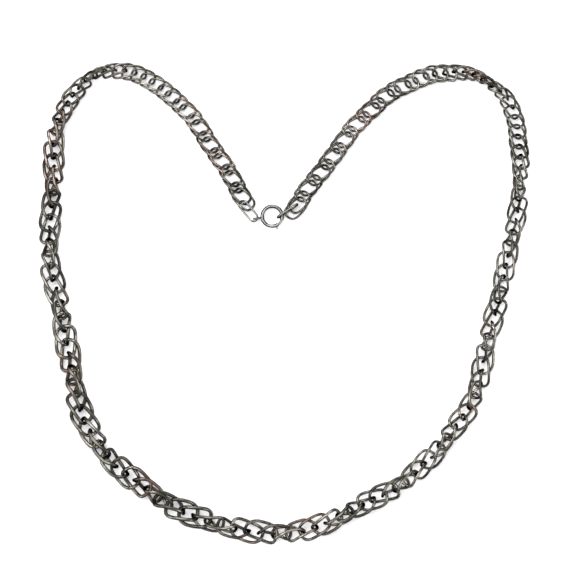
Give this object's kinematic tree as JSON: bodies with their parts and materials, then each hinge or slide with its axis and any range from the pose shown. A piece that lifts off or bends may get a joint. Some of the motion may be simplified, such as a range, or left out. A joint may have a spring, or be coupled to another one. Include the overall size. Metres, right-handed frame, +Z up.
{
  "type": "chain necklace",
  "caption": "Twisted double-curb chain necklace, graduated towards its lower end, closed by a small spring ring and laid flat in a heart shape.",
  "frame": {"origin": "middle of the laid-out necklace's box, on the table", "axes": "+Z up from the table, +Y from the lower end of the loop towards the clasp, +X to the right seen from above"},
  "size_m": [0.1311, 0.1287, 0.0072],
  "materials": {
    "links": "polished",
    "end_links": "polished",
    "clasp": "polished",
    "bolt": "polished",
    "spring_steel": "satin"
  },
  "bodies": {
    "clasp": {"spring_ring": "clasp", "ring_eye": "clasp", "bolt_spring": "spring_steel"},
    "ring_bolt": {"ring_bolt": "bolt"},
    "left_end_link": {"left_end_link": "end_links"},
    "right_end_link": {"right_end_link": "end_links"},
    "left_section_01": {"left_links_01": "links"},
    "left_section_02": {"left_links_02": "links"},
    "left_section_03": {"left_links_03": "links"},
    "left_section_04": {"left_links_04": "links"},
    "left_section_05": {"left_links_05": "links"},
    "left_section_06": {"left_links_06": "links"},
    "left_section_07": {"left_links_07": "links"},
    "left_section_08": {"left_links_08": "links"},
    "left_section_09": {"left_links_09": "links"},
    "left_section_10": {"left_links_10": "links"},
    "left_section_11": {"left_links_11": "links"},
    "left_section_12": {"left_links_12": "links"},
    "left_section_13": {"left_links_13": "links"},
    "left_section_14": {"left_links_14": "links"},
    "left_section_15": {"left_links_15": "links"},
    "left_section_16": {"left_links_16": "links"},
    "left_section_17": {"left_links_17": "links"},
    "left_section_18": {"left_links_18": "links"},
    "left_section_19": {"left_links_19": "links"},
    "left_section_20": {"left_links_20": "links"},
    "left_section_21": {"left_links_21": "links"},
    "left_section_22": {"left_links_22": "links"},
    "left_section_23": {"left_links_23": "links", "left_links_24": "links"},
    "right_section_01": {"right_links_01": "links"},
    "right_section_02": {"right_links_02": "links"},
    "right_section_03": {"right_links_03": "links"},
    "right_section_04": {"right_links_04": "links"},
    "right_section_05": {"right_links_05": "links"},
    "right_section_06": {"right_links_06": "links"},
    "right_section_07": {"right_links_07": "links"},
    "right_section_08": {"right_links_08": "links"},
    "right_section_09": {"right_links_09": "links"},
    "right_section_10": {"right_links_10": "links"},
    "right_section_11": {"right_links_11": "links"},
    "right_section_12": {"right_links_12": "links"},
    "right_section_13": {"right_links_13": "links"},
    "right_section_14": {"right_links_14": "links"},
    "right_section_15": {"right_links_15": "links"},
    "right_section_16": {"right_links_16": "links"},
    "right_section_17": {"right_links_17": "links"},
    "right_section_18": {"right_links_18": "links"},
    "right_section_19": {"right_links_19": "links"},
    "right_section_20": {"right_links_20": "links"},
    "right_section_21": {"right_links_21": "links"},
    "right_section_22": {"right_links_22": "links"},
    "right_section_23": {"right_links_23": "links", "right_links_24": "links"}
  },
  "joints": [
    {"name": "left_hinge_00", "type": "hinge", "parent": "clasp", "child": "left_end_link", "pos_m": [-0.0074, 0.0226, 0.0017], "axis": [0, 0, 1], "range_deg": [-7.88, 4.93]},
    {"name": "left_hinge_01", "type": "hinge", "parent": "left_end_link", "child": "left_section_01", "pos_m": [-0.0112, 0.0266, 0.0017], "axis": [0, 0, 1], "range_deg": [-4.93, 7.88]},
    {"name": "left_hinge_02", "type": "hinge", "parent": "left_section_01", "child": "left_section_02", "pos_m": [-0.01395, 0.0333, 0.0017], "axis": [0, 0, 1], "range_deg": [-6.37, 3.44]},
    {"name": "left_hinge_03", "type": "hinge", "parent": "left_section_02", "child": "left_section_03", "pos_m": [-0.01833, 0.04008, 0.0017], "axis": [0, 0, 1], "range_deg": [-3.44, 6.37]},
    {"name": "left_hinge_04", "type": "hinge", "parent": "left_section_03", "child": "left_section_04", "pos_m": [-0.02274, 0.04697, 0.0017], "axis": [0, 0, 1], "range_deg": [-3, 5]},
    {"name": "left_hinge_05", "type": "hinge", "parent": "left_section_04", "child": "left_section_05", "pos_m": [-0.02801, 0.05319, 0.0017], "axis": [0, 0, 1], "range_deg": [-5.5, 3.5]},
    {"name": "left_hinge_06", "type": "hinge", "parent": "left_section_05", "child": "left_section_06", "pos_m": [-0.0344, 0.05843, 0.0017], "axis": [0, 0, 1], "range_deg": [-3, 6]},
    {"name": "left_hinge_07", "type": "hinge", "parent": "left_section_06", "child": "left_section_07", "pos_m": [-0.0415, 0.06176, 0.0017], "axis": [0, 0, 1], "range_deg": [-6.5, 3.5]},
    {"name": "left_hinge_08", "type": "hinge", "parent": "left_section_07", "child": "left_section_08", "pos_m": [-0.04947, 0.06156, 0.0017], "axis": [0, 0, 1], "range_deg": [-4.26, 8.01]},
    {"name": "left_hinge_09", "type": "hinge", "parent": "left_section_08", "child": "left_section_09", "pos_m": [-0.05568, 0.05661, 0.0017], "axis": [0, 0, 1], "range_deg": [-8.01, 4.26]},
    {"name": "left_hinge_10", "type": "hinge", "parent": "left_section_09", "child": "left_section_10", "pos_m": [-0.05962, 0.04956, 0.0017], "axis": [0, 0, 1], "range_deg": [-3, 2]},
    {"name": "left_hinge_11", "type": "hinge", "parent": "left_section_10", "child": "left_section_11", "pos_m": [-0.06146, 0.04085, 0.0017], "axis": [0, 0, 1], "range_deg": [-2.5, 3.5]},
    {"name": "left_hinge_12", "type": "hinge", "parent": "left_section_11", "child": "left_section_12", "pos_m": [-0.06209, 0.03115, 0.0017], "axis": [0, 0, 1], "range_deg": [-3, 5]},
    {"name": "left_hinge_13", "type": "hinge", "parent": "left_section_12", "child": "left_section_13", "pos_m": [-0.06256, 0.02139, 0.0017], "axis": [0, 0, 1], "range_deg": [-5.5, 3.5]},
    {"name": "left_hinge_14", "type": "hinge", "parent": "left_section_13", "child": "left_section_14", "pos_m": [-0.06232, 0.01154, 0.0017], "axis": [0, 0, 1], "range_deg": [-3, 6]},
    {"name": "left_hinge_15", "type": "hinge", "parent": "left_section_14", "child": "left_section_15", "pos_m": [-0.06072, 0.00158, 0.0017], "axis": [0, 0, 1], "range_deg": [-6.5, 3.5]},
    {"name": "left_hinge_16", "type": "hinge", "parent": "left_section_15", "child": "left_section_16", "pos_m": [-0.05872, -0.0087, 0.0017], "axis": [0, 0, 1], "range_deg": [-5.37, 3.42]},
    {"name": "left_hinge_17", "type": "hinge", "parent": "left_section_16", "child": "left_section_17", "pos_m": [-0.0563, -0.01916, 0.0017], "axis": [0, 0, 1], "range_deg": [-3.42, 5.37]},
    {"name": "left_hinge_18", "type": "hinge", "parent": "left_section_17", "child": "left_section_18", "pos_m": [-0.05394, -0.02967, 0.0017], "axis": [0, 0, 1], "range_deg": [-3, 5]},
    {"name": "left_hinge_19", "type": "hinge", "parent": "left_section_18", "child": "left_section_19", "pos_m": [-0.04897, -0.03924, 0.0017], "axis": [0, 0, 1], "range_deg": [-5.5, 3.5]},
    {"name": "left_hinge_20", "type": "hinge", "parent": "left_section_19", "child": "left_section_20", "pos_m": [-0.04096, -0.04649, 0.0017], "axis": [0, 0, 1], "range_deg": [-2.63, 4.77]},
    {"name": "left_hinge_21", "type": "hinge", "parent": "left_section_20", "child": "left_section_21", "pos_m": [-0.03205, -0.05271, 0.0017], "axis": [0, 0, 1], "range_deg": [-4.77, 2.63]},
    {"name": "left_hinge_22", "type": "hinge", "parent": "left_section_21", "child": "left_section_22", "pos_m": [-0.02231, -0.05758, 0.0017], "axis": [0, 0, 1], "range_deg": [-2, 6]},
    {"name": "left_hinge_23", "type": "hinge", "parent": "left_section_22", "child": "left_section_23", "pos_m": [-0.01182, -0.06056, 0.0017], "axis": [0, 0, 1], "range_deg": [-6.5, 2.5]},
    {"name": "right_hinge_00", "type": "hinge", "parent": "clasp", "child": "right_end_link", "pos_m": [-0.0009, 0.0232, 0.0017], "axis": [0, 0, 1], "range_deg": [-6.94, 5.33]},
    {"name": "right_hinge_01", "type": "hinge", "parent": "right_end_link", "child": "right_section_01", "pos_m": [0.003, 0.0261, 0.0017], "axis": [0, 0, 1], "range_deg": [-5.33, 6.94]},
    {"name": "right_hinge_02", "type": "hinge", "parent": "right_section_01", "child": "right_section_02", "pos_m": [0.00634, 0.03078, 0.0017], "axis": [0, 0, 1], "range_deg": [-3, 6]},
    {"name": "right_hinge_03", "type": "hinge", "parent": "right_section_02", "child": "right_section_03", "pos_m": [0.01134, 0.03712, 0.0017], "axis": [0, 0, 1], "range_deg": [-6.5, 3.5]},
    {"name": "right_hinge_04", "type": "hinge", "parent": "right_section_03", "child": "right_section_04", "pos_m": [0.01604, 0.04369, 0.0017], "axis": [0, 0, 1], "range_deg": [-6.53, 3.51]},
    {"name": "right_hinge_05", "type": "hinge", "parent": "right_section_04", "child": "right_section_05", "pos_m": [0.02123, 0.04983, 0.0017], "axis": [0, 0, 1], "range_deg": [-3.51, 6.53]},
    {"name": "right_hinge_06", "type": "hinge", "parent": "right_section_05", "child": "right_section_06", "pos_m": [0.02707, 0.0553, 0.0017], "axis": [0, 0, 1], "range_deg": [-3, 4]},
    {"name": "right_hinge_07", "type": "hinge", "parent": "right_section_06", "child": "right_section_07", "pos_m": [0.03405, 0.05902, 0.0017], "axis": [0, 0, 1], "range_deg": [-4.5, 3.5]},
    {"name": "right_hinge_08", "type": "hinge", "parent": "right_section_07", "child": "right_section_08", "pos_m": [0.04163, 0.06138, 0.0017], "axis": [0, 0, 1], "range_deg": [-3.19, 8.56]},
    {"name": "right_hinge_09", "type": "hinge", "parent": "right_section_08", "child": "right_section_09", "pos_m": [0.04945, 0.0613, 0.0017], "axis": [0, 0, 1], "range_deg": [-8.56, 3.19]},
    {"name": "right_hinge_10", "type": "hinge", "parent": "right_section_09", "child": "right_section_10", "pos_m": [0.05648, 0.05752, 0.0017], "axis": [0, 0, 1], "range_deg": [-3, 6]},
    {"name": "right_hinge_11", "type": "hinge", "parent": "right_section_10", "child": "right_section_11", "pos_m": [0.06099, 0.05103, 0.0017], "axis": [0, 0, 1], "range_deg": [-6.5, 3.5]},
    {"name": "right_hinge_12", "type": "hinge", "parent": "right_section_11", "child": "right_section_12", "pos_m": [0.06249, 0.04312, 0.0017], "axis": [0, 0, 1], "range_deg": [-4.21, 7.92]},
    {"name": "right_hinge_13", "type": "hinge", "parent": "right_section_12", "child": "right_section_13", "pos_m": [0.06287, 0.03501, 0.0017], "axis": [0, 0, 1], "range_deg": [-7.92, 4.21]},
    {"name": "right_hinge_14", "type": "hinge", "parent": "right_section_13", "child": "right_section_14", "pos_m": [0.06228, 0.02636, 0.0017], "axis": [0, 0, 1], "range_deg": [-3.73, 5.88]},
    {"name": "right_hinge_15", "type": "hinge", "parent": "right_section_14", "child": "right_section_15", "pos_m": [0.06104, 0.01739, 0.0017], "axis": [0, 0, 1], "range_deg": [-5.88, 3.73]},
    {"name": "right_hinge_16", "type": "hinge", "parent": "right_section_15", "child": "right_section_16", "pos_m": [0.05864, 0.00839, 0.0017], "axis": [0, 0, 1], "range_deg": [-3.29, 2.36]},
    {"name": "right_hinge_17", "type": "hinge", "parent": "right_section_16", "child": "right_section_17", "pos_m": [0.05653, -0.00094, 0.0017], "axis": [0, 0, 1], "range_deg": [-2.36, 3.29]},
    {"name": "right_hinge_18", "type": "hinge", "parent": "right_section_17", "child": "right_section_18", "pos_m": [0.05448, -0.01044, 0.0017], "axis": [0, 0, 1], "range_deg": [-4.31, 3.36]},
    {"name": "right_hinge_19", "type": "hinge", "parent": "right_section_18", "child": "right_section_19", "pos_m": [0.05203, -0.01989, 0.0017], "axis": [0, 0, 1], "range_deg": [-3.36, 4.31]},
    {"name": "right_hinge_20", "type": "hinge", "parent": "right_section_19", "child": "right_section_20", "pos_m": [0.04847, -0.02902, 0.0017], "axis": [0, 0, 1], "range_deg": [-3, 4]},
    {"name": "right_hinge_21", "type": "hinge", "parent": "right_section_20", "child": "right_section_21", "pos_m": [0.04295, -0.0372, 0.0017], "axis": [0, 0, 1], "range_deg": [-4.5, 3.5]},
    {"name": "right_hinge_22", "type": "hinge", "parent": "right_section_21", "child": "right_section_22", "pos_m": [0.03585, -0.04407, 0.0017], "axis": [0, 0, 1], "range_deg": [-3, 6]},
    {"name": "right_hinge_23", "type": "hinge", "parent": "right_section_22", "child": "right_section_23", "pos_m": [0.02793, -0.05008, 0.0017], "axis": [0, 0, 1], "range_deg": [-6.5, 3.5]},
    {"name": "bolt_slide", "type": "hinge", "parent": "clasp", "child": "ring_bolt", "pos_m": [-0.0033, 0.0232, 0.0017], "axis": [0, 0, -1], "range_deg": [0, 40], "stiffness_Nm_per_rad": 0.00001, "springref_deg": -17.19, "deforming": ["bolt_spring"]}
  ],
  "couplings": [
    {"joint": "left_hinge_00", "follows": "left_hinge_04", "ratio": -1.475},
    {"joint": "left_hinge_01", "follows": "left_hinge_04", "ratio": 1.475},
    {"joint": "left_hinge_02", "follows": "right_hinge_10", "ratio": -0.979},
    {"joint": "left_hinge_03", "follows": "right_hinge_10", "ratio": 0.979},
    {"joint": "left_hinge_05", "follows": "left_hinge_04", "ratio": -1},
    {"joint": "left_hinge_07", "follows": "left_hinge_06", "ratio": -1},
    {"joint": "left_hinge_08", "follows": "right_hinge_22", "ratio": 1.252},
    {"joint": "left_hinge_09", "follows": "right_hinge_22", "ratio": -1.252},
    {"joint": "left_hinge_11", "follows": "left_hinge_10", "ratio": -1},
    {"joint": "left_hinge_13", "follows": "left_hinge_12", "ratio": -1},
    {"joint": "left_hinge_15", "follows": "left_hinge_14", "ratio": -1},
    {"joint": "left_hinge_16", "follows": "left_hinge_18", "ratio": -0.973},
    {"joint": "left_hinge_17", "follows": "left_hinge_18", "ratio": 0.973},
    {"joint": "left_hinge_19", "follows": "left_hinge_18", "ratio": -1},
    {"joint": "left_hinge_20", "follows": "left_hinge_06", "ratio": 0.711},
    {"joint": "left_hinge_21", "follows": "left_hinge_06", "ratio": -0.711},
    {"joint": "left_hinge_23", "follows": "left_hinge_22", "ratio": -1},
    {"joint": "right_hinge_00", "follows": "right_hinge_06", "ratio": -1.609},
    {"joint": "right_hinge_01", "follows": "right_hinge_06", "ratio": 1.609},
    {"joint": "right_hinge_03", "follows": "right_hinge_02", "ratio": -1},
    {"joint": "right_hinge_04", "follows": "right_hinge_02", "ratio": -1.005},
    {"joint": "right_hinge_05", "follows": "right_hinge_02", "ratio": 1.005},
    {"joint": "right_hinge_07", "follows": "right_hinge_06", "ratio": -1},
    {"joint": "right_hinge_08", "follows": "left_hinge_22", "ratio": 1.344},
    {"joint": "right_hinge_09", "follows": "left_hinge_22", "ratio": -1.344},
    {"joint": "right_hinge_11", "follows": "right_hinge_10", "ratio": -1},
    {"joint": "right_hinge_12", "follows": "left_hinge_14", "ratio": 1.236},
    {"joint": "right_hinge_13", "follows": "left_hinge_14", "ratio": -1.236},
    {"joint": "right_hinge_14", "follows": "left_hinge_12", "ratio": 1.076},
    {"joint": "right_hinge_15", "follows": "left_hinge_12", "ratio": -1.076},
    {"joint": "right_hinge_16", "follows": "left_hinge_10", "ratio": 0.93},
    {"joint": "right_hinge_17", "follows": "left_hinge_10", "ratio": -0.93},
    {"joint": "right_hinge_18", "follows": "right_hinge_20", "ratio": -0.952},
    {"joint": "right_hinge_19", "follows": "right_hinge_20", "ratio": 0.952},
    {"joint": "right_hinge_21", "follows": "right_hinge_20", "ratio": -1},
    {"joint": "right_hinge_23", "follows": "right_hinge_22", "ratio": -1}
  ]
}
